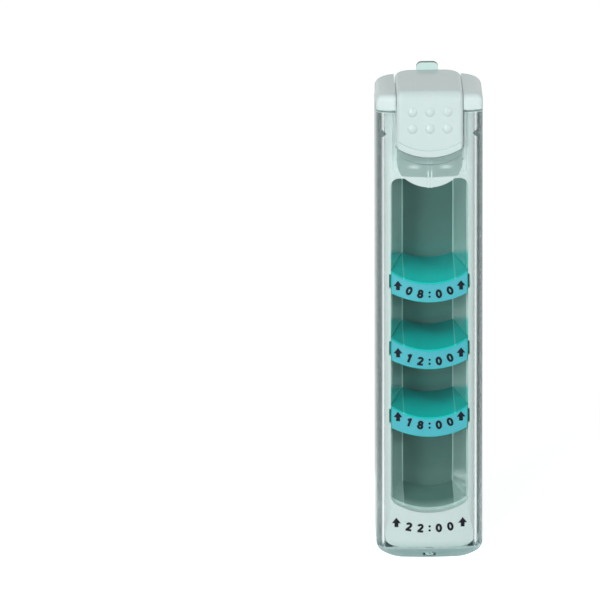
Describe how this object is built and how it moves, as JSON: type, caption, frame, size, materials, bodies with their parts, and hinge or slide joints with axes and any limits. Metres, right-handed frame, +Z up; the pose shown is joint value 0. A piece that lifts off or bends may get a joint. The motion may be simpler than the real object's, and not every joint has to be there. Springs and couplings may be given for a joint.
{
  "type": "medication dispenser",
  "caption": "Upright pocket tablet dispenser: a white drawer with stacked compartments slides up out of a clear case and is held by a pressed latch with grip bumps.",
  "frame": {"origin": "centre of the case's foot, on the surface it stands on", "axes": "+Z up along the case, -Y towards the user (the side with the window), +X to the user's right"},
  "size_m": [0.0314, 0.0257, 0.146],
  "materials": {
    "clear_plastic": "clear polished polystyrene with a faint green grey tint",
    "white_plastic": "satin white",
    "smoke_plastic": "grey green, satin",
    "turquoise_plastic": "turquoise, satin",
    "label_blue": "light blue printed strip",
    "spring_steel": "bright drawn steel"
  },
  "bodies": {
    "case": {"outer_case": "clear_plastic", "catch_nose": "clear_plastic"},
    "drawer": {"carriage": "white_plastic", "compartment_trough": "smoke_plastic", "cap": "white_plastic", "divider_upper": "turquoise_plastic", "divider_middle": "turquoise_plastic", "divider_lower": "turquoise_plastic", "label_upper": "label_blue", "label_middle": "label_blue", "label_lower": "label_blue", "latch_pin": "spring_steel", "latch_spring": "spring_steel"},
    "latch": {"latch_lever": "white_plastic"}
  },
  "joints": [
    {"name": "drawer_slide", "type": "slide", "parent": "case", "child": "drawer", "axis": [0, 0, 1], "range_m": [0, 0.117]},
    {"name": "latch_press", "type": "hinge", "parent": "drawer", "child": "latch", "pos_m": [0, -0.0085, 0.1408], "axis": [1, 0, 0], "range_deg": [0, 5], "stiffness_Nm_per_rad": 0.2, "springref_deg": -2.86, "deforming": ["latch_spring"]}
  ]
}
